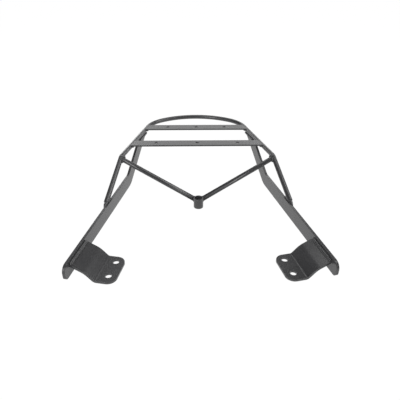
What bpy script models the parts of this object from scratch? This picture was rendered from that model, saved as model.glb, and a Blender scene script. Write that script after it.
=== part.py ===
"""Rear luggage carrier for a motorcycle: a rigid welded frame of round and flat steel bar.

A bent round bar makes the hoop and its two front legs. Two flat cross bars lie inside the hoop,
two flat side arms on edge run forward under it to the mounting brackets, and two round stays
slope down to a short vertical sleeve on the centre line. Weld beads join all of them.

Frame: +X is the carrier's right, +Y its rear, +Z up. The origin is under the middle of the
bounding box, on the plane that the bracket tabs rest on. Shapes are worked out in the hoop's own
frame, whose origin is midway between the hoop's two front bends, and hang on one empty.
"""

import math

import bmesh
import bpy
from mathutils import Matrix, Vector

MM = 0.001
GAP = 0.3 * MM  # between pieces that touch
CUT_MARGIN = 5.0 * MM  # how far a cutter reaches past what it cuts

# Round bar, all of one size
ROD_R = 4.75 * MM
ROD_SIDES = 16

# Hoop, by its centre line
HOOP_HALF_WIDTH = 151.5 * MM  # at the front bends
HOOP_TAPER = 0.253  # how far each side runs inwards per unit of length
HOOP_LENGTH = 224.0 * MM  # front bends to the rear apex
REAR_ARC_R = 147.0 * MM
CORNER_R = 76.0 * MM
BEND_R = 18.0 * MM

# Flat cross bars
CROSS_WIDTH = 25.0 * MM
CROSS_THICKNESS = 3.0 * MM
CROSS_TOP = 4.2 * MM  # above the hoop's centre plane
CROSS_HOLE_R = 3.5 * MM
FRONT_BAR_Y = 56.5 * MM
FRONT_HOLE_PITCH = 86.0 * MM
REAR_BAR_Y = 146.5 * MM
REAR_HOLE_PITCH = 64.4 * MM

# Side arms, flat bar on edge
ARM_HEIGHT = 25.0 * MM
ARM_THICKNESS = 4.8 * MM
ARM_HALF_SPAN = 146.2 * MM  # centre plane to centre plane is twice this, beside the front bends
ARM_SPLAY = math.atan(0.212)  # each arm runs outwards by this angle towards the front
ARM_DROP = 60.2 * MM  # centre line of the level stretch below the hoop's centre plane
ARM_KINK = 14.2 * MM  # where the arm turns up, along the arm from beside the front bends
ARM_RISE = math.radians(28.0)
ARM_FRONT = 285.5 * MM  # front end, along the arm
ARM_END_UPPER_R = 12.0 * MM
ARM_END_LOWER_R = 7.0 * MM
KINK_UPPER_R = 14.0 * MM

# Front legs: the hoop bar's ends, down to the arms' upper outer corners
FOOT_ALONG = 102.2 * MM
FOOT_OUTWARD = 3.8 * MM
LEG_CUT_BACK = 2.5 * MM  # how far short of the arm's top edge the bar is cut off

# Centre sleeve and its stays
BOSS_Y = -75.7 * MM
BOSS_TOP = -51.8 * MM
BOSS_HEIGHT = 20.0 * MM
BOSS_R = 9.2 * MM
BOSS_BORE_R = 7.2 * MM
BOSS_SIDES = 32
STAY_BELOW_BOSS_TOP = 7.6 * MM
STAY_BELOW_BEND = 5.0 * MM  # along the leg

# Mounting brackets: plate pressed into a step, by its upper surface from the arm's inner face
PLATE = 4.0 * MM
PLATE_START_Z = 7.5 * MM  # above the arm's centre line
CREST = (23.6 * MM, -4.3 * MM)
CREST_R = 15.0 * MM
STEP_FOOT = (37.0 * MM, -18.9 * MM)
STEP_FOOT_R = 8.0 * MM
TAB_END = 68.1 * MM
BRACKET_FRONT = 270.5 * MM  # along the arm
BRACKET_REAR = 208.5 * MM
TAB_CORNER_R = 14.5 * MM
BRACKET_HOLE_R = 5.25 * MM
BRACKET_HOLE_INWARD = 53.5 * MM
BRACKET_HOLES_ALONG = (254.7 * MM, 221.0 * MM)

# Weld beads, each a round run whose centre line lies off the corner that it fills
BEAD_R = 2.6 * MM
BEAD_SIDES = 12
BEAD_TAPER = ((0.0, 0.35), (0.02, 0.7), (0.06, 0.92), (0.12, 1.0))  # place along it, part of its radius
BAR_BEAD_TRIM = 1.5 * MM  # shorter than the cross bar's width, at each end
BAR_BEAD_INWARD = ROD_R + 0.6 * MM
BAR_BEAD_DROP = 1.4 * MM  # below the bar's underside
ARM_BEAD_TRIM = 3.0 * MM
ARM_BEAD_OFF_FACE = 0.8 * MM
ARM_BEAD_DROP = 1.0 * MM  # below the hoop bar's underside
BRACKET_BEAD_R = 3.6 * MM
BRACKET_BEAD_OFF_FACE = 1.6 * MM
BRACKET_UPPER_RISE = 0.4 * MM  # above the plate's upper surface
BRACKET_UPPER_TRIM = 0.5 * MM
BRACKET_LOWER_DROP = 2.7 * MM  # below the plate's underside
BRACKET_LOWER_TRIM = 4.0 * MM
LEG_COLLAR_R = 7.2 * MM
LEG_COLLAR_OFF = 1.3 * MM  # from the bar's or sleeve's surface to the collar's centre
BOSS_COLLAR_R = 6.4 * MM
BOSS_COLLAR_OFF = 0.9 * MM
COLLAR_FLATNESS = 0.7  # its thickness along the stay for its width
FOOT_BEAD_R = 3.7 * MM
FOOT_BEAD_FRONT = 119.0 * MM  # along the arm
FOOT_BEAD_REAR = 94.0 * MM  # further back the leg itself fills the corner
FOOT_BEAD_OUTWARD = 3.1 * MM  # at its thickest place
FOOT_BEAD_LIFT = 0.8 * MM
FOOT_BEAD_STEPS = 12

# Finish
BLACK = (0.055, 0.055, 0.057, 1.0)
WELD_BLACK = (0.060, 0.060, 0.062, 1.0)
PAINT_ROUGHNESS = 0.42
WELD_ROUGHNESS = 0.5

# Mesh fineness
ARC_STEP = math.radians(7.0)
SHARP_ANGLE = math.radians(35.0)
HOLE_SIDES = 24


# Scene ------------------------------------------------------------------------------------------

def clear_scene():
    for obj in list(bpy.data.objects):
        bpy.data.objects.remove(obj, do_unlink=True)


def new_collection(name):
    collection = bpy.data.collections.new(name)
    bpy.context.scene.collection.children.link(collection)
    return collection


def new_material(name, colour, roughness):
    material = bpy.data.materials.new(name)
    material.use_nodes = True
    shader = material.node_tree.nodes["Principled BSDF"]
    shader.inputs["Base Color"].default_value = colour
    shader.inputs["Roughness"].default_value = roughness
    shader.inputs["Metallic"].default_value = 0.0
    return material


def new_frame():
    """The empty at the hoop frame's origin: it lifts the carrier onto its tabs and centres it."""
    rear = HOOP_LENGTH + ROD_R
    front = -ARM_FRONT * math.cos(ARM_SPLAY) - ARM_THICKNESS / 2 * math.sin(ARM_SPLAY)
    tab_underside = STEP_FOOT[1] - ARM_DROP - PLATE
    frame = bpy.data.objects.new("carrier_frame", None)
    frame.location = (0.0, -(rear + front) / 2, -tab_underside)
    bpy.context.scene.collection.objects.link(frame)
    return frame


def add_part(obj, name, colour=BLACK, roughness=PAINT_ROUGHNESS):
    obj.name = name
    obj.data.name = name
    obj.data.materials.clear()
    obj.data.materials.append(new_material(name, colour, roughness))
    obj.parent = FRAME
    PARTS.objects.link(obj)
    return obj


def add_weld(obj, name):
    return add_part(obj, name, WELD_BLACK, WELD_ROUGHNESS)


def add_cutter(obj, name):
    obj.name = name
    obj.parent = FRAME
    obj.hide_render = True
    obj.display_type = "WIRE"
    CUTTERS.objects.link(obj)
    return obj


def combine(obj, other, operation="DIFFERENCE"):
    modifier = obj.modifiers.new(operation.lower(), "BOOLEAN")
    modifier.operation = operation
    modifier.solver = "EXACT"
    modifier.object = other


# Outlines and paths -----------------------------------------------------------------------------

def arc(centre, radius, start, end):
    """Points on a circle in a plane, by angles from the second axis towards the first."""
    count = max(2, math.ceil(abs(end - start) / ARC_STEP))
    angles = [start + (end - start) * i / count for i in range(count + 1)]
    return [centre + radius * Vector((math.sin(a), math.cos(a))) for a in angles]


def rounded_corner(before, corner, after, radius):
    """Points of the arc that rounds a corner between two straight lines, in 2D or 3D."""
    into = (corner - before).normalized()
    out = (after - corner).normalized()
    turn = into.angle(out)
    if radius == 0.0 or turn < 1e-4:
        return [corner]
    reach = radius * math.tan(turn / 2)
    start = corner - into * reach
    side = (out - into * into.dot(out)).normalized()
    count = max(2, math.ceil(turn / ARC_STEP))
    angles = [turn * i / count for i in range(count + 1)]
    return [start + radius * (into * math.sin(a) + side * (1 - math.cos(a))) for a in angles]


def rounded_path(corners, radii):
    """A polyline through corners, each inner one rounded by its radius."""
    path = [corners[0]]
    for i, radius in enumerate(radii, start=1):
        path += rounded_corner(corners[i - 1], corners[i], corners[i + 1], radius)
    return path + [corners[-1]]


def rounded_outline(corners, radii):
    """A closed outline, each corner rounded by its radius."""
    outline = []
    for i, radius in enumerate(radii):
        after = corners[(i + 1) % len(corners)]
        outline += rounded_corner(corners[i - 1], corners[i], after, radius)
    return outline


def offset_path(path, distance):
    """The 2D path moved sideways, to its left when the distance is positive."""
    moved = []
    for i, point in enumerate(path):
        ahead = path[min(i + 1, len(path) - 1)] - point
        behind = point - path[max(i - 1, 0)]
        along = (ahead.normalized() if ahead.length else behind.normalized())
        back = (behind.normalized() if behind.length else along)
        mean = (along + back).normalized()
        normal = Vector((-mean.y, mean.x))
        moved.append(point + normal * (distance / max(mean.dot(along), 0.5)))
    return moved


# Solids -----------------------------------------------------------------------------------------

def mesh_from_curve(curve):
    """The curve's solid as a mesh object with its caps welded on."""
    holder = bpy.data.objects.new("holder", curve)
    bpy.context.scene.collection.objects.link(holder)
    graph = bpy.context.evaluated_depsgraph_get()
    mesh = bpy.data.meshes.new_from_object(holder.evaluated_get(graph))
    bpy.data.objects.remove(holder, do_unlink=True)
    shape = bmesh.new()
    shape.from_mesh(mesh)
    bmesh.ops.remove_doubles(shape, verts=shape.verts, dist=1e-6)
    bmesh.ops.recalc_face_normals(shape, faces=shape.faces)
    shape.to_mesh(mesh)
    shape.free()
    mesh.shade_smooth()
    mesh.set_sharp_from_angle(angle=SHARP_ANGLE)
    return bpy.data.objects.new("solid", mesh)


def spline_of(curve, points, closed=False, radii=None):
    spline = curve.splines.new("POLY")
    spline.points.add(len(points) - 1)
    for i, point in enumerate(points):
        spline.points[i].co = (*point.to_3d(), 1.0)
        spline.points[i].radius = radii[i] if radii else 1.0
    spline.use_cyclic_u = closed


def rod(path, radius=ROD_R, sides=ROD_SIDES, radii=None):
    curve = bpy.data.curves.new("rod", "CURVE")
    curve.dimensions = "3D"
    curve.bevel_depth = radius
    curve.bevel_resolution = (sides - 4) // 2
    curve.use_fill_caps = True
    spline_of(curve, path, radii=radii)
    return mesh_from_curve(curve)


def slab(outline, thickness, matrix):
    """A flat plate: a 2D outline in the matrix's XY plane, thick along its Z both ways."""
    curve = bpy.data.curves.new("slab", "CURVE")
    curve.dimensions = "2D"
    curve.fill_mode = "BOTH"
    curve.extrude = thickness / 2
    spline_of(curve, outline, closed=True)
    obj = mesh_from_curve(curve)
    obj.data.transform(matrix)
    return obj


def cylinder(radius, height, centre, sides):
    shape = bmesh.new()
    bmesh.ops.create_cone(
        shape, cap_ends=True, segments=sides, radius1=radius, radius2=radius, depth=height,
        matrix=Matrix.Translation(centre),
    )
    mesh = bpy.data.meshes.new("cylinder")
    shape.to_mesh(mesh)
    shape.free()
    mesh.shade_smooth()
    mesh.set_sharp_from_angle(angle=SHARP_ANGLE)
    return bpy.data.objects.new("cylinder", mesh)


def ellipsoid(matrix, half_sizes):
    shape = bmesh.new()
    bmesh.ops.create_uvsphere(
        shape, u_segments=ROD_SIDES, v_segments=BEAD_SIDES, radius=1.0,
        matrix=matrix @ Matrix.Diagonal((*half_sizes, 1.0)),
    )
    mesh = bpy.data.meshes.new("ellipsoid")
    shape.to_mesh(mesh)
    shape.free()
    mesh.shade_smooth()
    return bpy.data.objects.new("ellipsoid", mesh)


def bead(start, end, radius):
    """A weld bead: a round run whose ends taper off."""
    swell = BEAD_TAPER + tuple((1 - place, size) for place, size in reversed(BEAD_TAPER))
    path = [start.lerp(end, place) for place, _ in swell]
    return rod(path, radius, BEAD_SIDES, [size for _, size in swell])


# Places on an arm -------------------------------------------------------------------------------

def arm_matrix(side):
    """The arm's frame: X runs rearwards along it, Y up and Z to the carrier's right."""
    rearwards = Vector((-side * math.sin(ARM_SPLAY), math.cos(ARM_SPLAY), 0.0))
    up = Vector((0.0, 0.0, 1.0))
    right = rearwards.cross(up)
    origin = Vector((side * ARM_HALF_SPAN, 0.0, -ARM_DROP))
    return Matrix.Translation(origin) @ Matrix((rearwards, up, right)).transposed().to_4x4()


def on_arm(side, along, outward, up):
    """A point by its place along the arm, out from its centre plane and up from its centre."""
    return arm_matrix(side) @ Vector((along, up, side * outward))


# Hoop -------------------------------------------------------------------------------------------

def hoop_side_x(y):
    return HOOP_HALF_WIDTH - HOOP_TAPER * y


def leg_foot(side):
    return on_arm(side, -FOOT_ALONG, FOOT_OUTWARD, ARM_HEIGHT / 2)


def leg_direction(side):
    return (leg_foot(side) - Vector((side * HOOP_HALF_WIDTH, 0.0, 0.0))).normalized()


def half_hoop():
    """Centre line of the right half, from the rear apex to the leg's end."""
    lean = math.atan(HOOP_TAPER)
    arc_centre = Vector((0.0, HOOP_LENGTH - REAR_ARC_R))
    spread = REAR_ARC_R - CORNER_R
    inset = HOOP_HALF_WIDTH * math.cos(lean) - CORNER_R - arc_centre.y * math.sin(lean)
    meeting = math.asin(inset / spread) - lean
    corner_centre = arc_centre + spread * Vector((math.sin(meeting), math.cos(meeting)))
    path = arc(arc_centre, REAR_ARC_R, 0.0, meeting)
    path += arc(corner_centre, CORNER_R, meeting, math.pi / 2 - lean)[1:]
    path = [point.to_3d() for point in path]
    bend = Vector((HOOP_HALF_WIDTH, 0.0, 0.0))
    end = leg_foot(1) - leg_direction(1) * LEG_CUT_BACK
    return path[:-1] + rounded_path([path[-1], bend, end], [BEND_R])


def hoop_path():
    right = half_hoop()
    left = [Vector((-point.x, point.y, point.z)) for point in right]
    return list(reversed(left)) + right[1:]


def foot_block(side, grow):
    """A block on the arm's stretch under the foot, for fitting the leg and its bead to the arm."""
    half_height = ARM_HEIGHT / 2 + grow
    corners = [
        Vector((-FOOT_ALONG + x * ARM_HEIGHT, y * half_height))
        for x, y in ((-1, -1), (1, -1), (1, 1), (-1, 1))
    ]
    return slab(corners, ARM_THICKNESS + 2 * grow, arm_matrix(side))


def make_hoop():
    hoop = add_part(rod(hoop_path()), "hoop")
    for side, word in SIDES:
        combine(hoop, add_cutter(foot_block(side, GAP), f"{word}_foot_fit"))


# Cross bars -------------------------------------------------------------------------------------

def make_cross_bar(name, y, hole_pitch):
    """A flat bar that ends against the inner half of the hoop, with three holes in a row."""
    front, rear = y - CROSS_WIDTH / 2, y + CROSS_WIDTH / 2
    outline = [
        Vector((-hoop_side_x(front), front)), Vector((hoop_side_x(front), front)),
        Vector((hoop_side_x(rear), rear)), Vector((-hoop_side_x(rear), rear)),
    ]
    middle = Matrix.Translation((0.0, 0.0, CROSS_TOP - CROSS_THICKNESS / 2))
    bar = add_part(slab(outline, CROSS_THICKNESS, middle), name)
    combine(bar, HOOP_FIT)
    for i, place in enumerate((-1, 0, 1)):
        centre = middle @ Vector((place * hole_pitch, y, 0.0))
        drill = cylinder(CROSS_HOLE_R, CROSS_THICKNESS + 2 * CUT_MARGIN, centre, HOLE_SIDES)
        combine(bar, add_cutter(drill, f"{name}_drill_{i + 1}"))


def make_cross_bar_bead(name, side, y):
    """The bead under one end of a cross bar, in the corner between the bar and the hoop."""
    half = CROSS_WIDTH / 2 - BAR_BEAD_TRIM
    height = CROSS_TOP - CROSS_THICKNESS - BAR_BEAD_DROP
    ends = [
        Vector((side * (hoop_side_x(end_y) - BAR_BEAD_INWARD), end_y, height))
        for end_y in (y - half, y + half)
    ]
    weld = add_weld(bead(*ends, BEAD_R), name)
    combine(weld, HOOP_FIT)
    underside = Matrix.Translation((0.0, 0.0, CROSS_TOP - CROSS_THICKNESS / 2))
    corners = [
        Vector((x * HOOP_HALF_WIDTH, y + s * CROSS_WIDTH)) for x, s in ((-1, -1), (1, -1), (1, 1), (-1, 1))
    ]
    block = slab(corners, CROSS_THICKNESS + 2 * GAP, underside)
    combine(weld, add_cutter(block, f"{name}_bar_fit"))


# Side arms --------------------------------------------------------------------------------------

def arm_outline():
    """Side view of an arm: level at the front, turned up at the rear, cut level under the hoop."""
    half = ARM_HEIGHT / 2
    top_z = ARM_DROP - ROD_R - GAP
    shift = half * math.tan(ARM_RISE / 2)
    upper_kink = Vector((ARM_KINK - shift, half))
    lower_kink = Vector((ARM_KINK + shift, -half))
    slope = 1 / math.tan(ARM_RISE)
    upper_end = Vector((upper_kink.x + (top_z - half) * slope, top_z))
    lower_end = Vector((lower_kink.x + (top_z + half) * slope, top_z))
    corners = [
        Vector((-ARM_FRONT, half)), Vector((-ARM_FRONT, -half)), lower_kink, lower_end, upper_end,
        upper_kink,
    ]
    radii = (ARM_END_UPPER_R, ARM_END_LOWER_R, KINK_UPPER_R + ARM_HEIGHT, 0.0, 0.0, KINK_UPPER_R)
    return rounded_outline(corners, radii)


def arm_contact():
    """Where the cut end of an arm starts and stops, along the arm."""
    top_z = ARM_DROP - ROD_R - GAP
    middle = ARM_KINK + top_z / math.tan(ARM_RISE)
    half = ARM_HEIGHT / 2 / math.sin(ARM_RISE)
    return middle - half, middle + half


def arm_fit(side, grow):
    """The whole arm grown by a little, for fitting beads to it."""
    outline = arm_outline()
    return slab(offset_path(outline + outline[:1], -grow)[:-1], ARM_THICKNESS + 2 * grow, arm_matrix(side))


def make_arm(side, word):
    add_part(slab(arm_outline(), ARM_THICKNESS, arm_matrix(side)), f"{word}_side_arm")


def make_arm_rear_beads(side, word):
    """Two beads under the hoop, one on each face of the arm's cut end."""
    start, end = arm_contact()
    height = ARM_DROP - ROD_R - ARM_BEAD_DROP
    face = ARM_THICKNESS / 2 + ARM_BEAD_OFF_FACE
    for where, outward in (("outer", face), ("inner", -face)):
        ends = [
            on_arm(side, along, outward, height) for along in (start + ARM_BEAD_TRIM, end - ARM_BEAD_TRIM)
        ]
        name = f"{word}_arm_{where}_weld"
        weld = add_weld(bead(*ends, BEAD_R), name)
        combine(weld, HOOP_FIT)
        combine(weld, ARM_FITS[side])


# Centre sleeve and stays ------------------------------------------------------------------------

def boss_point(up):
    return Vector((0.0, BOSS_Y, BOSS_TOP - BOSS_HEIGHT / 2 + up))


def stay_ends(side):
    """Centre line of a stay, from the leg's centre line to the sleeve's axis."""
    bend = Vector((side * HOOP_HALF_WIDTH, 0.0, 0.0))
    top = bend + leg_direction(side) * STAY_BELOW_BEND
    return top, boss_point(BOSS_HEIGHT / 2 - STAY_BELOW_BOSS_TOP)


def make_boss():
    boss = add_part(cylinder(BOSS_R, BOSS_HEIGHT, boss_point(0.0), BOSS_SIDES), "centre_boss")
    drill = cylinder(BOSS_BORE_R, BOSS_HEIGHT + 2 * CUT_MARGIN, boss_point(0.0), BOSS_SIDES)
    combine(boss, add_cutter(drill, "boss_drill"))


def make_stay(side, word):
    stay = add_part(rod(stay_ends(side)), f"{word}_stay")
    combine(stay, HOOP_FIT)
    combine(stay, BOSS_FIT)


def make_stay_collars(side, word):
    """The beads round a stay's two ends, on the leg and on the sleeve."""
    top, low = stay_ends(side)
    direction = (low - top).normalized()
    turn = direction.to_track_quat("Z", "Y").to_matrix().to_4x4()
    fit = add_cutter(rod((top, low), ROD_R + GAP), f"{word}_stay_fit")
    on_leg = top + direction * (ROD_R + LEG_COLLAR_OFF)
    on_boss = low - direction * (BOSS_R + BOSS_COLLAR_OFF)
    for where, centre, radius, neighbour in (
        ("top", on_leg, LEG_COLLAR_R, HOOP_FIT), ("boss", on_boss, BOSS_COLLAR_R, BOSS_FIT),
    ):
        half_sizes = (radius, radius, radius * COLLAR_FLATNESS)
        collar = ellipsoid(Matrix.Translation(centre) @ turn, half_sizes)
        weld = add_weld(collar, f"{word}_stay_{where}_weld")
        combine(weld, neighbour)
        combine(weld, fit)


def make_foot_bead(side, word):
    """The bead on the arm's upper edge round a leg's cut end, thickest there and thin at its ends."""
    path = []
    sizes = []
    for i in range(FOOT_BEAD_STEPS + 1):
        place = i / FOOT_BEAD_STEPS
        size = max(math.sin(math.pi * place), BEAD_TAPER[0][1])
        along = FOOT_BEAD_REAR + (FOOT_BEAD_FRONT - FOOT_BEAD_REAR) * place
        height = ARM_HEIGHT / 2 + FOOT_BEAD_LIFT * size
        outward = FOOT_BEAD_OUTWARD * (1 + size) / 2
        path.append(on_arm(side, -along, outward, height))
        sizes.append(size)
    weld = add_weld(rod(path, FOOT_BEAD_R, BEAD_SIDES, sizes), f"{word}_leg_foot_weld")
    combine(weld, HOOP_FIT)
    combine(weld, ARM_FITS[side])


# Mounting brackets ------------------------------------------------------------------------------

def bracket_matrix(side):
    """The bracket's section frame: X inwards from the arm's inner face, Y up, Z along the arm."""
    arm = arm_matrix(side)
    inwards = arm.to_3x3() @ Vector((0.0, 0.0, -side))
    up = Vector((0.0, 0.0, 1.0))
    along = inwards.cross(up)
    origin = on_arm(side, -(BRACKET_FRONT + BRACKET_REAR) / 2, -ARM_THICKNESS / 2, 0.0)
    return Matrix.Translation(origin) @ Matrix((inwards, up, along)).transposed().to_4x4()


def bracket_section(grow):
    """Section of the pressed plate, grown by a little if asked. It runs on into the arm, to be cut."""
    weld_line = Vector((0.0, PLATE_START_Z))
    crest = Vector(CREST)
    inside_arm = weld_line - (crest - weld_line).normalized() * CUT_MARGIN / 2
    corners = [inside_arm, crest, Vector(STEP_FOOT), Vector((TAB_END, STEP_FOOT[1]))]
    upper = rounded_path(corners, (CREST_R, STEP_FOOT_R))
    return offset_path(upper, grow) + list(reversed(offset_path(upper, -PLATE - grow)))


def make_bracket(side, word):
    matrix = bracket_matrix(side)
    width = BRACKET_FRONT - BRACKET_REAR
    bracket = add_part(slab(bracket_section(0.0), width, matrix), f"{word}_mounting_bracket")
    half = width / 2
    plan_corners = [Vector((x, y)) for x, y in (
        (GAP, -half), (TAB_END, -half), (TAB_END, half), (GAP, half),
    )]
    plan = rounded_outline(plan_corners, (0.0, TAB_CORNER_R, TAB_CORNER_R, 0.0))
    level = matrix @ Matrix.Rotation(math.radians(-90), 4, "X")
    blank = slab(plan, 4 * ARM_HEIGHT, level)
    combine(bracket, add_cutter(blank, f"{word}_bracket_blank"), "INTERSECT")
    for i, along in enumerate(BRACKET_HOLES_ALONG):
        centre = on_arm(side, -along, -ARM_THICKNESS / 2 - BRACKET_HOLE_INWARD, STEP_FOOT[1])
        drill = cylinder(BRACKET_HOLE_R, 2 * PLATE + 2 * CUT_MARGIN, centre, HOLE_SIDES)
        combine(bracket, add_cutter(drill, f"{word}_bracket_drill_{i + 1}"))


def make_bracket_beads(side, word):
    """The long beads that join a bracket to the arm's inner face, above and below the plate."""
    fit = slab(bracket_section(GAP), BRACKET_FRONT - BRACKET_REAR + 2 * CUT_MARGIN, bracket_matrix(side))
    add_cutter(fit, f"{word}_bracket_fit")
    face = -ARM_THICKNESS / 2 - BRACKET_BEAD_OFF_FACE
    upper = PLATE_START_Z + BRACKET_UPPER_RISE
    lower = PLATE_START_Z - PLATE - BRACKET_LOWER_DROP
    for where, height, trim in (
        ("upper", upper, BRACKET_UPPER_TRIM), ("lower", lower, BRACKET_LOWER_TRIM),
    ):
        ends = [
            on_arm(side, -along, face, height) for along in (BRACKET_FRONT - trim, BRACKET_REAR + trim)
        ]
        weld = add_weld(bead(*ends, BRACKET_BEAD_R), f"{word}_bracket_{where}_weld")
        combine(weld, fit)
        combine(weld, ARM_FITS[side])


# Assembly ---------------------------------------------------------------------------------------

SIDES = ((-1, "left"), (1, "right"))

clear_scene()
PARTS = new_collection("rear_luggage_carrier")
CUTTERS = new_collection("cutters")
FRAME = new_frame()
HOOP_FIT = add_cutter(rod(hoop_path(), ROD_R + GAP), "hoop_fit")
BOSS_FIT = add_cutter(
    cylinder(BOSS_R + GAP, BOSS_HEIGHT + 2 * CUT_MARGIN, boss_point(0.0), BOSS_SIDES), "boss_fit"
)
ARM_FITS = {side: add_cutter(arm_fit(side, GAP), f"{word}_arm_fit") for side, word in SIDES}

make_hoop()
make_cross_bar("front_cross_bar", FRONT_BAR_Y, FRONT_HOLE_PITCH)
make_cross_bar("rear_cross_bar", REAR_BAR_Y, REAR_HOLE_PITCH)
make_boss()
for side, word in SIDES:
    make_arm(side, word)
    make_stay(side, word)
    make_bracket(side, word)
    make_foot_bead(side, word)
    make_stay_collars(side, word)
    make_arm_rear_beads(side, word)
    make_bracket_beads(side, word)
    make_cross_bar_bead(f"{word}_front_bar_weld", side, FRONT_BAR_Y)
    make_cross_bar_bead(f"{word}_rear_bar_weld", side, REAR_BAR_Y)
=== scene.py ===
"""The looks of a motorcycle's rear luggage carrier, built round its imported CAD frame.

Every CAD node is stood for by one finer piece with the node's name and "_finish" added: bars with
rolled edges, bent plates, and weld beads with their ripples, all under one coat of satin black.

Shapes are worked out in the hoop's own frame, whose origin is midway between the hoop's two front
bends on its centre plane: +X is the carrier's right, +Y its rear, +Z up. PLACE puts them into the
row frame.
"""

import math

import bmesh
import bpy
from mathutils import Matrix, Vector


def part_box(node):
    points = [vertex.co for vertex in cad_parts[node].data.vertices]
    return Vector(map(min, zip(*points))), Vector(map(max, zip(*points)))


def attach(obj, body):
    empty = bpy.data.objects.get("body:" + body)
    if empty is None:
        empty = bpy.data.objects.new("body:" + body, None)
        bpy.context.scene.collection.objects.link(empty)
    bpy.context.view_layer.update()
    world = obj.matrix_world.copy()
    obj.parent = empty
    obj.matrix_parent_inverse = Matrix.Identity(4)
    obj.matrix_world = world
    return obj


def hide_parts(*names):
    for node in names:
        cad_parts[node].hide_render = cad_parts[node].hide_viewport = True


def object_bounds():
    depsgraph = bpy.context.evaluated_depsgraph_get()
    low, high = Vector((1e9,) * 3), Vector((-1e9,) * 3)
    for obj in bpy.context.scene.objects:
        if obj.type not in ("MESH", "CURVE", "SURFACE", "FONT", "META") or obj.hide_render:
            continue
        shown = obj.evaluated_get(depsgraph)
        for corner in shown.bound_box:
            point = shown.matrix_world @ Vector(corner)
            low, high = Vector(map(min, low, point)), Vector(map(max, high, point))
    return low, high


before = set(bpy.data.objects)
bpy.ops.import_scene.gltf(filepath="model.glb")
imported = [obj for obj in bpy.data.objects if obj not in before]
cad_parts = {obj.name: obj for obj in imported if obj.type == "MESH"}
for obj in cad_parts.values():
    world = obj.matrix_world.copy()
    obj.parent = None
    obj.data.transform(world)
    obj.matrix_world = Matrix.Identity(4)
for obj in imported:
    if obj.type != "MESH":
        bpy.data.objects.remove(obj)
CAD_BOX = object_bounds()

MM = 0.001
UP = Vector((0.0, 0.0, 1.0))
SIDES = ((-1, "left"), (1, "right"))
SHARP_ANGLE = math.radians(40)
MERGE_DISTANCE = 1e-6

# Round bar
ROD_R = 4.75 * MM
ROD_SIDES = 48

# Hoop, by its centre line
HOOP_HALF_WIDTH = 151.5 * MM
HOOP_TAPER = 0.253
HOOP_LENGTH = 224.0 * MM
REAR_ARC_R = 147.0 * MM
CORNER_R = 76.0 * MM
BEND_R = 18.0 * MM

# Flat cross bars
CROSS_END_IN_HOOP = 1.2 * MM  # the bar's ends stop inside the hoop, this far from its centre line
CROSS_HOLE_R = 3.5 * MM
HOLE_PITCHES = {"front_cross_bar": 86.0 * MM, "rear_cross_bar": 64.4 * MM}

# Side arms
ARM_HEIGHT = 25.0 * MM
ARM_THICKNESS = 4.8 * MM
ARM_HALF_SPAN = 146.2 * MM
ARM_SPLAY = math.atan(0.212)
ARM_DROP = 60.2 * MM
ARM_KINK = 14.2 * MM
ARM_RISE = math.radians(28.0)
ARM_FRONT = 285.5 * MM
ARM_END_UPPER_R = 12.0 * MM
ARM_END_LOWER_R = 7.0 * MM
KINK_UPPER_R = 14.0 * MM
ARM_INTO_HOOP = 0.8 * MM

# Front legs
FOOT_ALONG = 102.2 * MM
FOOT_OUTWARD = 3.8 * MM
LEG_CUT_BACK = 2.5 * MM
FOOT_CUT_LENGTH = 80.0 * MM  # the stretch of the arm that is taken out of the leg's end
LEG_POINTS = 16  # how many of the hoop's last points cover a leg and its bend

# Stays, from the legs to the centre sleeve
STAY_BELOW_SLEEVE_TOP = 7.6 * MM
STAY_BELOW_BEND = 5.0 * MM
SLEEVE_WALL = 2.0 * MM
SLEEVE_EDGE = 0.5 * MM
SLEEVE_SIDES = 96
CUTTER_BORE_R = 0.1 * MM  # the tube that trims a stay in the sleeve's wall is almost solid
CUTTER_EDGE = 0.01 * MM

# Mounting brackets, by the plate's upper surface from the arm's inner face
PLATE = 4.0 * MM
PLATE_START_Z = 7.5 * MM
CREST = Vector((23.6 * MM, -4.3 * MM))
CREST_R = 36.0 * MM
STEP_FOOT = Vector((37.0 * MM, -18.9 * MM))
STEP_FOOT_R = 5.0 * MM
TAB_END = 68.1 * MM
PLATE_INTO_ARM = 1.0 * MM
BRACKET_FRONT = 270.5 * MM
BRACKET_REAR = 208.5 * MM
TAB_CORNER_R = 14.5 * MM
BRACKET_HOLE_R = 5.25 * MM
BRACKET_HOLE_INWARD = 53.5 * MM
BRACKET_HOLES_ALONG = (254.7 * MM, 221.0 * MM)

# Edges as rolled, drilled and painted
BAR_EDGE = 0.25 * MM
BAR_EDGE_STEPS = 3
ARC_STEP = math.radians(2.5)

# Weld beads
BEAD_R = 2.6 * MM
BAR_BEAD_TRIM = 1.5 * MM  # shorter than the cross bar's width, at each end
BAR_BEAD_INWARD = ROD_R + 0.6 * MM
BAR_BEAD_DROP = BEAD_R * 0.55  # below the bar's underside
ARM_BEAD_TRIM = 3.0 * MM
ARM_BEAD_DROP = BEAD_R * 0.4  # below the hoop bar's underside
ARM_BEAD_OFF_FACE = BEAD_R * 0.3
BRACKET_BEAD_R = 2.3 * MM
BRACKET_BEAD_SPREAD = 1.35
BRACKET_BEAD_OFF_FACE = 2.0 * MM
BRACKET_BEAD_TILT = 0.7  # how far its crown tilts inwards for each unit up or down
BRACKET_BEADS = (  # where, height above the arm's centre line, shorter at each end, and up or down
    ("upper", PLATE_START_Z - 0.4 * MM, 0.5 * MM, 1),
    ("lower", PLATE_START_Z - PLATE - 2.2 * MM, 4.0 * MM, -1),
)
LEG_COLLAR_R = 2.1 * MM
LEG_COLLAR_SWELL = 0.8  # how much thicker its rear side is
SLEEVE_COLLAR_R = 0.8 * MM
COLLAR_STAND_OFF = 0.2  # of the bead's radius
COLLAR_POINTS = 120
SEAM_TOLERANCE = 0.01 * MM
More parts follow.
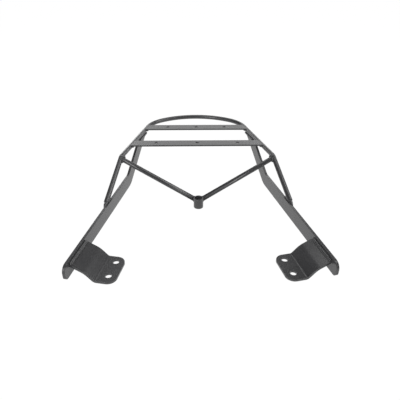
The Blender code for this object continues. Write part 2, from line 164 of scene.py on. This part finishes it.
FOOT_BEAD = (  # along the arm, outwards, upwards, and the bead's radius there, all in mm
    (-78.0, 0.8, 12.2, 0.7),
    (-88.0, 1.4, 13.0, 2.2),
    (-99.0, 3.0, 13.4, 3.6),
    (-106.0, 3.2, 12.6, 3.3),
    (-112.0, 2.6, 12.1, 2.0),
    (-117.0, 2.1, 11.9, 0.7),
)
BEAD_STEP = 0.3 * MM
RUN_STEPS = 28
BEAD_SIDES = 32
BEAD_END_SIZE = 0.12  # of its radius
RIPPLE_PITCH = 1.7 * MM
RIPPLE_DEPTH = 0.05  # of its radius
RIPPLE_LAG = 0.8
RIPPLE_DRIFT = ((0.22, 3, 1.0), (0.12, 7, 2.1))  # waves by height, count and share of the seed
BEAD_UNEVENNESS = ((0.03, 2, 1.7), (0.02, 5, 1.0))
FOOT_SEED = 3.0
COLLAR_SEED = 5.0
ARM_SEED = 8.0
BRACKET_SEED = 11.0
BAR_SEEDS = (("front", 14.0), ("rear", 17.0))

# Paint
PAINT_DARK = (0.040, 0.040, 0.042)
PAINT_DUSTY = (0.048, 0.048, 0.050)
PAINT_ROUGHNESS = (0.24, 0.32)
WELD_ROUGHNESS = (0.26, 0.36)
PAINT_RELIEF = (0.008 * MM, 0.002 * MM)  # of the orange-peel skin, and of the grain
WELD_RELIEF = (0.015 * MM, 0.003 * MM)
HAZE = (28.0, 4.0)  # noise by scale and detail
SKIN = (620.0, 2.0)
GRAIN = (2600.0, 3.0)
NOISE_MIDDLE = (0.3, 0.7)  # most of a noise's values lie in this range
MIX_COLOUR_A = 6  # a mix node's colour sockets, by number because their names repeat
MIX_COLOUR_B = 7
MIX_COLOUR_OUT = 2

# Stage
WHITE = (1.0, 1.0, 1.0, 1.0)
FLOOR_SIZE = (60.0, 60.0, 0.02)
FLOOR_COLOUR = (0.02, 0.02, 0.02, 1.0)
FLOOR_ROUGHNESS = 0.9
FLOOR_GLOW = 1.0
LIGHT_DISTANCE = 2.0
LOW_BOX = (1.0, 0.7)
HIGH_BOX = (1.0, 1.0)
TALL_BOX = (0.6, 1.5)
WIDE_BOX = (1.5, 0.8)
LIGHTS = (  # degrees round from the front to the carrier's right, degrees up, size, and watts
    ("front_right_low", 62.0, 15.0, LOW_BOX, 7.0),
    ("rear_right_low", 148.0, 12.0, LOW_BOX, 7.0),
    ("rear_left_low", 208.0, 12.0, LOW_BOX, 8.5),
    ("front_left", 294.0, 22.0, HIGH_BOX, 5.5),
    ("front_left_tall", 332.0, 30.0, TALL_BOX, 22.0),
    ("right_high", 97.0, 34.0, HIGH_BOX, 14.0),
    ("rear_wide", 178.0, 25.0, WIDE_BOX, 6.0),
    ("rear_above", 192.0, 66.0, HIGH_BOX, 9.0),
    ("right_above", 100.0, 64.0, HIGH_BOX, 8.0),
)

# Camera
CAMERA_PLACE = Vector((-0.0196, -0.7228, 0.4382))
CAMERA_PITCH = math.radians(31.47)
CAMERA_YAW = math.radians(1.92)
CAMERA_ROLL = math.radians(0.47)
CAMERA_LENS = 37.09


# Paths and outlines -----------------------------------------------------------------------------

def arc(centre, radius, start, end):
    """Points on a circle in a plane, by angles from the second axis towards the first."""
    count = max(2, math.ceil(abs(end - start) / ARC_STEP))
    angles = [start + (end - start) * i / count for i in range(count + 1)]
    return [centre + radius * Vector((math.sin(a), math.cos(a))) for a in angles]


def rounded_corner(before, corner, after, radius):
    """Points of the arc that rounds a corner between two straight lines, in 2D or 3D."""
    into = (corner - before).normalized()
    out = (after - corner).normalized()
    turn = into.angle(out)
    if radius == 0.0:
        return [corner]
    start = corner - into * radius * math.tan(turn / 2)
    side = (out - into * into.dot(out)).normalized()
    count = max(2, math.ceil(turn / ARC_STEP))
    angles = [turn * i / count for i in range(count + 1)]
    return [start + radius * (into * math.sin(a) + side * (1 - math.cos(a))) for a in angles]


def rounded_path(corners, radii):
    """A polyline through corners, each inner one rounded by its radius."""
    path = [corners[0]]
    for i, radius in enumerate(radii, start=1):
        path += rounded_corner(corners[i - 1], corners[i], corners[i + 1], radius)
    return path + [corners[-1]]


def rounded_outline(corners, radii):
    """A closed outline, each corner rounded by its radius."""
    outline = []
    for i, radius in enumerate(radii):
        after = corners[(i + 1) % len(corners)]
        outline += rounded_corner(corners[i - 1], corners[i], after, radius)
    return outline


def circle(centre, radius):
    return arc(centre, radius, 0.0, 2 * math.pi)[:-1]


def distances(path):
    """How far along a path each of its points is."""
    far = [0.0]
    for before, after in zip(path, path[1:]):
        far.append(far[-1] + (after - before).length)
    return far


def evenly_spaced(path, step):
    """The path resampled into equal steps, of about the length asked for."""
    far = distances(path)
    count = max(2, round(far[-1] / step))
    points = []
    i = 0
    for n in range(count + 1):
        wanted = far[-1] * n / count
        while i < len(path) - 2 and far[i + 1] < wanted:
            i += 1
        points.append(path[i].lerp(path[i + 1], (wanted - far[i]) / (far[i + 1] - far[i])))
    return points


# Mesh work --------------------------------------------------------------------------------------

def mesh_object(shape, name):
    """An object from a bmesh, shaded smooth but for its sharp edges."""
    bmesh.ops.recalc_face_normals(shape, faces=shape.faces)
    mesh = bpy.data.meshes.new(name)
    shape.to_mesh(mesh)
    shape.free()
    mesh.shade_smooth()
    mesh.set_sharp_from_angle(angle=SHARP_ANGLE)
    obj = bpy.data.objects.new(name, mesh)
    bpy.context.scene.collection.objects.link(obj)
    return obj


def apply_modifiers(obj):
    """Puts the object's evaluated mesh in place of its mesh and modifiers."""
    graph = bpy.context.evaluated_depsgraph_get()
    mesh = bpy.data.meshes.new_from_object(obj.evaluated_get(graph))
    obj.modifiers.clear()
    obj.data = mesh


def cut(obj, cutter):
    """Takes the cutter's solid away from the object's, and removes the cutter."""
    modifier = obj.modifiers.new("cut", "BOOLEAN")
    modifier.operation = "DIFFERENCE"
    modifier.solver = "EXACT"
    modifier.object = cutter
    apply_modifiers(obj)
    bpy.data.objects.remove(cutter, do_unlink=True)
    return obj


def flat_shaded_faces(obj):
    """Weighs corner normals by face area, so that rolled edges don't shade the flats by them."""
    modifier = obj.modifiers.new("weighted", "WEIGHTED_NORMAL")
    modifier.keep_sharp = True
    apply_modifiers(obj)
    return obj


def sweep(name, points, outwards, radius_at, sides, closed=False, spread=1.0):
    """A round section swept along points. Its radius depends on the distance along and the angle
    from the outward direction, and the spread widens it across that direction."""
    shape = bmesh.new()
    last = len(points) - 1
    far = distances(points)
    rings = []
    for i, point in enumerate(points):
        ahead = points[(i + 1) % len(points)] if closed else points[min(i + 1, last)]
        behind = points[i - 1] if closed else points[max(i - 1, 0)]
        along = (ahead - behind).normalized()
        crown = (outwards[i] - along * outwards[i].dot(along)).normalized()
        across = along.cross(crown)
        ring = []
        for n in range(sides):
            angle = 2 * math.pi * n / sides
            spoke = crown * math.cos(angle) + across * math.sin(angle) * spread
            ring.append(shape.verts.new(point + spoke * radius_at(far[i], angle)))
        rings.append(ring)
    pairs = list(zip(rings, rings[1:]))
    if closed:
        pairs.append((rings[-1], rings[0]))
    else:
        shape.faces.new(rings[0])
        shape.faces.new(rings[-1])
    for ring, following in pairs:
        for n in range(sides):
            m = (n + 1) % sides
            shape.faces.new((ring[n], ring[m], following[m], following[n]))
    return mesh_object(shape, name)


def round_bar(name, path):
    return sweep(name, path, [UP] * len(path), lambda distance, angle: ROD_R, ROD_SIDES)


def flat_bar(name, outlines, thickness, matrix):
    """A flat plate with rolled edges: its outline and holes lie in the matrix's XY plane."""
    curve = bpy.data.curves.new(name, "CURVE")
    curve.dimensions = "2D"
    curve.fill_mode = "BOTH"
    curve.extrude = thickness / 2 - BAR_EDGE
    curve.bevel_depth = BAR_EDGE
    curve.bevel_resolution = BAR_EDGE_STEPS
    curve.offset = -BAR_EDGE
    for outline in outlines:
        spline = curve.splines.new("POLY")
        spline.points.add(len(outline) - 1)
        for point, place in zip(spline.points, outline):
            point.co = (place.x, place.y, 0.0, 1.0)
        spline.use_cyclic_u = True
    holder = bpy.data.objects.new(name, curve)
    bpy.context.scene.collection.objects.link(holder)
    graph = bpy.context.evaluated_depsgraph_get()
    mesh = bpy.data.meshes.new_from_object(holder.evaluated_get(graph))
    bpy.data.objects.remove(holder, do_unlink=True)
    shape = bmesh.new()
    shape.from_mesh(mesh)
    bmesh.ops.remove_doubles(shape, verts=shape.verts, dist=MERGE_DISTANCE)
    shape.transform(matrix)
    return mesh_object(shape, name)


def block(name, size, matrix):
    shape = bmesh.new()
    bmesh.ops.create_cube(shape, size=1.0, matrix=matrix @ Matrix.Diagonal((*size, 1.0)))
    return mesh_object(shape, name)


def rounded_tube(name, centre, outer, inner, height, edge):
    """A tube turned about +Z, with its four rims rounded."""
    half = height / 2
    corners = ((inner, -half), (outer, -half), (outer, half), (inner, half))
    profile = rounded_outline([Vector(corner) for corner in corners], [edge] * len(corners))
    shape = bmesh.new()
    rings = []
    for n in range(SLEEVE_SIDES):
        angle = 2 * math.pi * n / SLEEVE_SIDES
        spoke = Vector((math.cos(angle), math.sin(angle), 0.0))
        rings.append([shape.verts.new(centre + spoke * p.x + UP * p.y) for p in profile])
    for n, ring in enumerate(rings):
        following = rings[(n + 1) % SLEEVE_SIDES]
        for i in range(len(profile)):
            k = (i + 1) % len(profile)
            shape.faces.new((ring[i], ring[k], following[k], following[i]))
    return mesh_object(shape, name)


# Weld beads -------------------------------------------------------------------------------------

def rounded_ends(radius, length):
    """The size of a bead of one radius by the distance along it, with its two ends rounded off."""
    def size_at(distance):
        from_end = min(1.0, distance / radius, (length - distance) / radius)
        return radius * max(BEAD_END_SIZE, math.sqrt(max(0.0, 1 - (1 - from_end) ** 2)))

    return size_at


def waves(table, turns, seed):
    return sum(height * math.sin(count * turns + share * seed) for height, count, share in table)


def rippled(size_at, length, seed):
    """The radius of a bead by the distance along it and the angle from its crown: scallops one
    after another, trailing behind at the bead's toes."""
    pitch = length / round(length / RIPPLE_PITCH)

    def radius_at(distance, angle):
        size = size_at(distance)
        turns = 2 * math.pi * distance / length
        lag = RIPPLE_LAG * size * (1 - math.cos(angle)) / 2
        scallops = (distance - lag) / pitch + waves(RIPPLE_DRIFT, turns, seed)
        uneven = waves(BEAD_UNEVENNESS, turns, seed)
        return size * (1 + uneven - RIPPLE_DEPTH * (1 - abs(math.sin(math.pi * scallops))))

    return radius_at


def straight_bead(name, start, end, outward, radius, seed, spread=1.0):
    points = evenly_spaced([start, end], BEAD_STEP)
    length = (end - start).length
    radius_at = rippled(rounded_ends(radius, length), length, seed)
    return sweep(name, points, [outward] * len(points), radius_at, BEAD_SIDES, spread=spread)


def ring_bead(name, points, outwards, radius, seed, swell, thickest):
    """A bead round a bar, thicker by the swell at one angle from its first point."""
    length = distances(points + points[:1])[-1]

    def size_at(distance):
        return radius * (1 + swell * (1 + math.cos(2 * math.pi * distance / length - thickest)) / 2)

    radius_at = rippled(size_at, length, seed)
    return sweep(name, points, outwards, radius_at, BEAD_SIDES, closed=True)


def smooth_run(stations):
    """Vectors on a smooth curve through the stations."""
    ends = [2 * stations[0] - stations[1], *stations, 2 * stations[-1] - stations[-2]]
    run = []
    for a, b, c, d in zip(ends, ends[1:], ends[2:], ends[3:]):
        for i in range(RUN_STEPS):
            t = i / RUN_STEPS
            run.append(
                b + (c - a) * (t / 2) + (2 * a - 5 * b + 4 * c - d) * (t ** 2 / 2)
                + (3 * b - a - 3 * c + d) * (t ** 3 / 2)
            )
    return run + [stations[-1]]


# Places on the carrier --------------------------------------------------------------------------

def arm_matrix(side):
    """The arm's frame: X runs rearwards along it, Y up and Z to the carrier's right."""
    rearwards = Vector((-side * math.sin(ARM_SPLAY), math.cos(ARM_SPLAY), 0.0))
    right = rearwards.cross(UP)
    origin = Vector((side * ARM_HALF_SPAN, 0.0, -ARM_DROP))
    return Matrix.Translation(origin) @ Matrix((rearwards, UP, right)).transposed().to_4x4()


def on_arm(side, along, outward, up):
    """A point by its place along the arm, out from its centre plane and up from its centre."""
    return arm_matrix(side) @ Vector((along, up, side * outward))


def outward_of_arm(side):
    return arm_matrix(side).to_3x3() @ Vector((0.0, 0.0, side))


def hoop_side_x(y):
    return HOOP_HALF_WIDTH - HOOP_TAPER * y


def front_bend(side):
    return Vector((side * HOOP_HALF_WIDTH, 0.0, 0.0))


def leg_foot(side):
    return on_arm(side, -FOOT_ALONG, FOOT_OUTWARD, ARM_HEIGHT / 2)


def leg_direction(side):
    return (leg_foot(side) - front_bend(side)).normalized()


def half_hoop():
    """Centre line of the right half, from the rear apex to the leg's end."""
    lean = math.atan(HOOP_TAPER)
    arc_centre = Vector((0.0, HOOP_LENGTH - REAR_ARC_R))
    spread = REAR_ARC_R - CORNER_R
    inset = HOOP_HALF_WIDTH * math.cos(lean) - CORNER_R - arc_centre.y * math.sin(lean)
    meeting = math.asin(inset / spread) - lean
    corner_centre = arc_centre + spread * Vector((math.sin(meeting), math.cos(meeting)))
    path = arc(arc_centre, REAR_ARC_R, 0.0, meeting)
    path += arc(corner_centre, CORNER_R, meeting, math.pi / 2 - lean)[1:]
    path = [point.to_3d() for point in path]
    end = leg_foot(1) - leg_direction(1) * LEG_CUT_BACK
    return path[:-1] + rounded_path([path[-1], front_bend(1), end], [BEND_R])


def mirrored(point):
    return Vector((-point.x, point.y, point.z))


def hoop_path():
    right = half_hoop()
    return [mirrored(point) for point in reversed(right)] + right[1:]


def from_node(name):
    """The middle and the size of a CAD node's box, in the hoop frame."""
    low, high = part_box(name)
    return (low + high) / 2 - ORIGIN, high - low


def sleeve_joint():
    """Where the stays' centre lines meet, on the sleeve's axis."""
    middle, size = from_node("centre_boss")
    return middle + UP * (size.z / 2 - STAY_BELOW_SLEEVE_TOP)


def stay_ends(side):
    """Centre line of a stay, from the leg's centre line to the sleeve's axis."""
    return front_bend(side) + leg_direction(side) * STAY_BELOW_BEND, sleeve_joint()


# Bars -------------------------------------------------------------------------------------------

def make_hoop():
    hoop = round_bar("hoop", hoop_path())
    for side, _ in SIDES:
        under_foot = arm_matrix(side) @ Matrix.Translation((-FOOT_ALONG, 0.0, 0.0))
        cut(hoop, block("foot", (FOOT_CUT_LENGTH, ARM_HEIGHT, ARM_THICKNESS), under_foot))
    finish(hoop, "hoop")


def make_cross_bar(node):
    """A flat bar whose ends stop inside the hoop, with three holes in a row."""
    middle, size = from_node(node)
    front, rear = middle.y - size.y / 2, middle.y + size.y / 2
    slant = math.sqrt(1 + HOOP_TAPER ** 2)
    corners = [
        Vector((side * (hoop_side_x(y) - CROSS_END_IN_HOOP * slant), y))
        for side, y in ((-1, front), (1, front), (1, rear), (-1, rear))
    ]
    holes = [circle(Vector((n * HOLE_PITCHES[node], middle.y)), CROSS_HOLE_R) for n in (-1, 0, 1)]
    bar = flat_bar(node, [corners] + holes, size.z, Matrix.Translation((0.0, 0.0, middle.z)))
    finish(flat_shaded_faces(bar), node)


def arm_outline():
    """Side view of an arm: level at the front, turned up at the rear, cut level in the hoop."""
    half = ARM_HEIGHT / 2
    top_z = ARM_DROP - ROD_R + ARM_INTO_HOOP
    shift = half * math.tan(ARM_RISE / 2)
    upper_kink = Vector((ARM_KINK - shift, half))
    lower_kink = Vector((ARM_KINK + shift, -half))
    slope = 1 / math.tan(ARM_RISE)
    upper_end = Vector((upper_kink.x + (top_z - half) * slope, top_z))
    lower_end = Vector((lower_kink.x + (top_z + half) * slope, top_z))
    corners = [
        Vector((-ARM_FRONT, half)), Vector((-ARM_FRONT, -half)), lower_kink, lower_end, upper_end,
        upper_kink,
    ]
    radii = (ARM_END_UPPER_R, ARM_END_LOWER_R, KINK_UPPER_R + ARM_HEIGHT, 0.0, 0.0, KINK_UPPER_R)
    return rounded_outline(corners, radii)


def make_arm(side, word):
    node = f"{word}_side_arm"
    arm = flat_bar(node, [arm_outline()], ARM_THICKNESS, arm_matrix(side))
    finish(flat_shaded_faces(arm), node)


def make_sleeve():
    middle, size = from_node("centre_boss")
    outer = size.x / 2
    inner = outer - SLEEVE_WALL
    sleeve = rounded_tube("centre_boss", middle, outer, inner, size.z, SLEEVE_EDGE)
    finish(sleeve, "centre_boss")


def make_stay(side, word):
    """A stay that starts inside the leg and ends inside the sleeve's wall."""
    node = f"{word}_stay"
    middle, size = from_node("centre_boss")
    stay = round_bar(node, list(stay_ends(side)))
    in_wall = size.x / 2 - SLEEVE_WALL / 2
    cut(stay, rounded_tube("in_wall", middle, in_wall, CUTTER_BORE_R, 2 * size.z, CUTTER_EDGE))
    finish(stay, node)


# Brackets ---------------------------------------------------------------------------------------

def bracket_matrix(side):
    """The bracket's section frame: X inwards from the arm's inner face, Y up, Z along the arm."""
    inwards = -outward_of_arm(side)
    along = inwards.cross(UP)
    origin = on_arm(side, -(BRACKET_FRONT + BRACKET_REAR) / 2, -ARM_THICKNESS / 2, 0.0)
    return Matrix.Translation(origin) @ Matrix((inwards, UP, along)).transposed().to_4x4()


def bracket_line():
    """The upper surface of the pressed plate in section, from inside the arm to the tab's end."""
    weld_line = Vector((0.0, PLATE_START_Z))
    start = weld_line - (CREST - weld_line).normalized() * PLATE_INTO_ARM
    end = Vector((TAB_END, STEP_FOOT.y))
    return rounded_path([start, CREST, STEP_FOOT, end], (CREST_R, STEP_FOOT_R))


def bend_along(shape, line):
    """Bends a flat plate: its X becomes the distance along the line, its Z the depth under it."""
    far = distances(line)
    for distance in far[1:-1]:
        bmesh.ops.bisect_plane(
            shape, geom=shape.verts[:] + shape.edges[:] + shape.faces[:],
            plane_co=(distance, 0.0, 0.0), plane_no=(1.0, 0.0, 0.0),
        )
    for vertex in shape.verts:
        i = max(n for n in range(len(line) - 1) if n == 0 or far[n] <= vertex.co.x)
        along = (line[i + 1] - line[i]).normalized()
        normal = Vector((-along.y, along.x))
        point = line[i] + along * (vertex.co.x - far[i]) + normal * vertex.co.z
        vertex.co = (point.x, point.y, vertex.co.y)


def make_bracket(side, word):
    node = f"{word}_mounting_bracket"
    line = bracket_line()
    length = distances(line)[-1]
    half = (BRACKET_FRONT - BRACKET_REAR) / 2
    corners = ((0.0, -half), (length, -half), (length, half), (0.0, half))
    radii = (0.0, TAB_CORNER_R, TAB_CORNER_R, 0.0)
    plan = rounded_outline([Vector(corner) for corner in corners], radii)
    along_middle = (BRACKET_FRONT + BRACKET_REAR) / 2
    in_from_end = TAB_END - BRACKET_HOLE_INWARD
    holes = [
        circle(Vector((length - in_from_end, side * (along_middle - along))), BRACKET_HOLE_R)
        for along in BRACKET_HOLES_ALONG
    ]
    plate = flat_bar(node, [plan] + holes, PLATE, Matrix.Translation((0.0, 0.0, -PLATE / 2)))
    shape = bmesh.new()
    shape.from_mesh(plate.data)
    bpy.data.objects.remove(plate, do_unlink=True)
    bend_along(shape, line)
    shape.transform(bracket_matrix(side))
    finish(flat_shaded_faces(mesh_object(shape, node)), node)


# Welds ------------------------------------------------------------------------------------------

def make_cross_bar_bead(side, word, bar, seed):
    """The bead under one end of a cross bar, in the corner between the bar and the hoop."""
    middle, size = from_node(f"{bar}_cross_bar")
    half = size.y / 2 - BAR_BEAD_TRIM
    height = middle.z - size.z / 2 - BAR_BEAD_DROP
    ends = [
        Vector((side * (hoop_side_x(y) - BAR_BEAD_INWARD), y, height))
        for y in (middle.y - half, middle.y + half)
    ]
    node = f"{word}_{bar}_bar_weld"
    finish_weld(straight_bead(node, *ends, Vector((-side, 0.0, -1.0)), BEAD_R, seed), node)


def make_arm_rear_beads(side, word, seed):
    """Two beads under the hoop, one on each face of the arm's cut end."""
    top_z = ARM_DROP - ROD_R
    middle = ARM_KINK + top_z / math.tan(ARM_RISE)
    half = ARM_HEIGHT / 2 / math.sin(ARM_RISE) - ARM_BEAD_TRIM
    height = top_z - ARM_BEAD_DROP
    face = ARM_THICKNESS / 2 + ARM_BEAD_OFF_FACE
    for where, way in (("outer", 1), ("inner", -1)):
        ends = [on_arm(side, along, way * face, height) for along in (middle - half, middle + half)]
        node = f"{word}_arm_{where}_weld"
        outward = way * outward_of_arm(side) - UP
        finish_weld(straight_bead(node, *ends, outward, BEAD_R, seed + way), node)


def make_foot_bead(side, word, seed):
    """The bead that fills the crotch behind a leg's cut end, swells round that end, and runs down
    to the arm's upper edge in front of it."""
    run = smooth_run([Vector(station) * MM for station in FOOT_BEAD])
    points = [on_arm(side, along, outward, up) for along, outward, up, _ in run]
    far = distances(points)
    sizes = dict(zip(far, [station[3] for station in run]))
    outward = outward_of_arm(side) + UP
    node = f"{word}_leg_foot_weld"
    radius_at = rippled(sizes.get, far[-1], seed)
    weld = sweep(node, points, [outward] * len(points), radius_at, BEAD_SIDES)
    finish_weld(weld, node)


def nearest_on_path(point, path):
    """The nearest point on a polyline."""
    best = None
    for start, end in zip(path, path[1:]):
        run = end - start
        share = min(1.0, max(0.0, (point - start).dot(run) / run.length_squared))
        there = start + run * share
        if best is None or (point - there).length < (point - best).length:
            best = there
    return best


def collar_path(start, end, axis_path, radius, stand_off):
    """The seam where a round bar from start runs into a bar or sleeve round the axis path, with
    the direction out of the corner at each of its points."""
    direction = (end - start).normalized()
    across = direction.cross(UP).normalized()
    above = across.cross(direction)
    points, outwards = [], []
    for n in range(COLLAR_POINTS):
        angle = 2 * math.pi * n / COLLAR_POINTS
        spoke = across * math.cos(angle) + above * math.sin(angle)
        near, far = 0.0, (end - start).length
        while far - near > SEAM_TOLERANCE:
            reach = (near + far) / 2
            point = start + spoke * ROD_R + direction * reach
            if (point - nearest_on_path(point, axis_path)).length > radius:
                near = reach
            else:
                far = reach
        point = start + spoke * ROD_R + direction * near
        wall = (point - nearest_on_path(point, axis_path)).normalized()
        outward = (spoke + wall).normalized()
        points.append(point + outward * stand_off)
        outwards.append(outward)
    return points, outwards


def make_stay_collars(side, word, seed):
    """The beads round a stay's two ends, on the leg and on the sleeve."""
    top, low = stay_ends(side)
    half_way = (top + low) / 2
    middle, box = from_node("centre_boss")
    leg = [point if side > 0 else mirrored(point) for point in half_hoop()[-LEG_POINTS:]]
    axis = [middle - UP * box.z, middle + UP * box.z]
    rear = 0.0 if side < 0 else math.pi
    for where, end, path, radius, size, swell in (
        ("top", top, leg, ROD_R, LEG_COLLAR_R, LEG_COLLAR_SWELL),
        ("boss", low, axis, box.x / 2, SLEEVE_COLLAR_R, 0.0),
    ):
        node = f"{word}_stay_{where}_weld"
        points, outwards = collar_path(half_way, end, path, radius, size * COLLAR_STAND_OFF)
        finish_weld(ring_bead(node, points, outwards, size, seed, swell, rear), node)


def make_bracket_beads(side, word, seed):
    """The long beads that join a bracket to the arm's inner face, above and below the plate."""
    inwards = -outward_of_arm(side)
    for where, height, trim, lean in BRACKET_BEADS:
        ends = [
            on_arm(side, -along, -ARM_THICKNESS / 2 - BRACKET_BEAD_OFF_FACE, height)
            for along in (BRACKET_FRONT - trim, BRACKET_REAR + trim)
        ]
        node = f"{word}_bracket_{where}_weld"
        crown = UP * lean + inwards * BRACKET_BEAD_TILT
        weld = straight_bead(node, *ends, crown, BRACKET_BEAD_R, seed + lean, BRACKET_BEAD_SPREAD)
        finish_weld(weld, node)


# Materials --------------------------------------------------------------------------------------

def new_material(name):
    material = bpy.data.materials.new(name)
    material.use_nodes = True
    return material


def noise(nodes, links, place, scale, detail):
    texture = nodes.new("ShaderNodeTexNoise")
    texture.inputs["Scale"].default_value = scale
    texture.inputs["Detail"].default_value = detail
    links.new(place, texture.inputs["Vector"])
    return texture.outputs["Fac"]


def spread_over(nodes, links, value, low, high):
    """The value's middle range, spread from low to high."""
    spread = nodes.new("ShaderNodeMapRange")
    spread.inputs["From Min"].default_value, spread.inputs["From Max"].default_value = NOISE_MIDDLE
    spread.inputs["To Min"].default_value = low
    spread.inputs["To Max"].default_value = high
    links.new(value, spread.inputs["Value"])
    return spread.outputs["Result"]


def satin_black(name, roughness, relief):
    """Black powder coat: an orange-peel skin, finer specks, and a faint haze of dust."""
    material = new_material(name)
    nodes, links = material.node_tree.nodes, material.node_tree.links
    shader = nodes["Principled BSDF"]
    place = nodes.new("ShaderNodeTexCoord").outputs["Object"]
    haze, skin, grain = (noise(nodes, links, place, *kind) for kind in (HAZE, SKIN, GRAIN))

    colour = nodes.new("ShaderNodeMix")
    colour.data_type = "RGBA"
    colour.inputs[MIX_COLOUR_A].default_value = (*PAINT_DARK, 1.0)
    colour.inputs[MIX_COLOUR_B].default_value = (*PAINT_DUSTY, 1.0)
    links.new(spread_over(nodes, links, haze, 0.0, 1.0), colour.inputs["Factor"])
    links.new(colour.outputs[MIX_COLOUR_OUT], shader.inputs["Base Color"])

    links.new(spread_over(nodes, links, grain, *roughness), shader.inputs["Roughness"])

    bump = None
    for height, distance in zip((skin, grain), relief):
        above = nodes.new("ShaderNodeBump")
        above.inputs["Strength"].default_value = 1.0
        above.inputs["Distance"].default_value = distance
        links.new(height, above.inputs["Height"])
        if bump:
            links.new(bump, above.inputs["Normal"])
        bump = above.outputs["Normal"]
    links.new(bump, shader.inputs["Normal"])
    return material


def finish(obj, node, material=None):
    """Puts a finished piece in the node's place."""
    obj.name = f"{node}_finish"
    obj.data.transform(PLACE)
    obj.data.materials.clear()
    obj.data.materials.append(material or PAINT)
    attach(obj, "root")
    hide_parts(node)


def finish_weld(obj, node):
    finish(obj, node, WELD_PAINT)


# Stage ------------------------------------------------------------------------------------------

def make_floor():
    """A pale floor that glows evenly, like a light table, so that no shadow shows on it."""
    floor = block("floor", FLOOR_SIZE, Matrix.Translation((0.0, 0.0, -FLOOR_SIZE[2] / 2)))
    material = new_material("pale_floor")
    shader = material.node_tree.nodes["Principled BSDF"]
    shader.inputs["Base Color"].default_value = FLOOR_COLOUR
    shader.inputs["Roughness"].default_value = FLOOR_ROUGHNESS
    shader.inputs["Specular IOR Level"].default_value = 0.0
    shader.inputs["Emission Color"].default_value = WHITE
    shader.inputs["Emission Strength"].default_value = FLOOR_GLOW
    floor.data.materials.append(material)


def make_world():
    """A pale backdrop all round, which adds no light of its own to the object."""
    world = bpy.data.worlds.new("pale_room")
    world.use_nodes = True
    background = world.node_tree.nodes["Background"]
    background.inputs["Color"].default_value = WHITE
    background.inputs["Strength"].default_value = 1.0
    world.cycles_visibility.diffuse = False
    world.cycles_visibility.glossy = False
    bpy.context.scene.world = world


def softbox(name, place, backwards, size, power):
    """A rectangular lamp that shines against the direction backwards."""
    light = bpy.data.lights.new(name, "AREA")
    light.shape = "RECTANGLE"
    light.size, light.size_y = size
    light.energy = power
    lamp = bpy.data.objects.new(name, light)
    lamp.location = place
    lamp.rotation_euler = backwards.to_track_quat("Z", "Y").to_euler()
    lamp.visible_camera = False
    bpy.context.scene.collection.objects.link(lamp)


def make_lights():
    """Softboxes round the object, all at one distance from its middle."""
    low, high = CAD_BOX
    for name, azimuth, elevation, size, power in LIGHTS:
        turn = Matrix.Rotation(math.radians(azimuth), 3, "Z")
        rise = math.radians(elevation)
        backwards = turn @ Vector((0.0, -math.cos(rise), math.sin(rise)))
        softbox(name, (low + high) / 2 + backwards * LIGHT_DISTANCE, backwards, size, power)


def make_camera():
    camera = bpy.data.objects.new("camera", bpy.data.cameras.new("camera"))
    camera.data.lens = CAMERA_LENS
    turn = Matrix.Rotation(-CAMERA_YAW, 4, "Z")
    tilt = Matrix.Rotation(math.pi / 2 - CAMERA_PITCH, 4, "X")
    roll = Matrix.Rotation(CAMERA_ROLL, 4, "Z")
    camera.matrix_world = Matrix.Translation(CAMERA_PLACE) @ turn @ tilt @ roll
    bpy.context.scene.collection.objects.link(camera)
    bpy.context.scene.camera = camera


# Assembly ---------------------------------------------------------------------------------------

HOOP_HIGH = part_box("hoop")[1]
ORIGIN = Vector((0.0, HOOP_HIGH.y - ROD_R - HOOP_LENGTH, HOOP_HIGH.z - ROD_R))
PLACE = Matrix.Translation(ORIGIN)
PAINT = satin_black("satin_black_paint", PAINT_ROUGHNESS, PAINT_RELIEF)
WELD_PAINT = satin_black("satin_black_on_weld", WELD_ROUGHNESS, WELD_RELIEF)

make_hoop()
make_cross_bar("front_cross_bar")
make_cross_bar("rear_cross_bar")
make_sleeve()
for side, word in SIDES:
    make_arm(side, word)
    make_stay(side, word)
    make_bracket(side, word)
    make_foot_bead(side, word, FOOT_SEED + side)
    make_stay_collars(side, word, COLLAR_SEED + side)
    make_arm_rear_beads(side, word, ARM_SEED + side)
    make_bracket_beads(side, word, BRACKET_SEED + side)
    for bar, seed in BAR_SEEDS:
        make_cross_bar_bead(side, word, bar, seed + side)

make_floor()
make_world()
make_lights()
make_camera()
bpy.context.scene.view_settings.view_transform = "Standard"
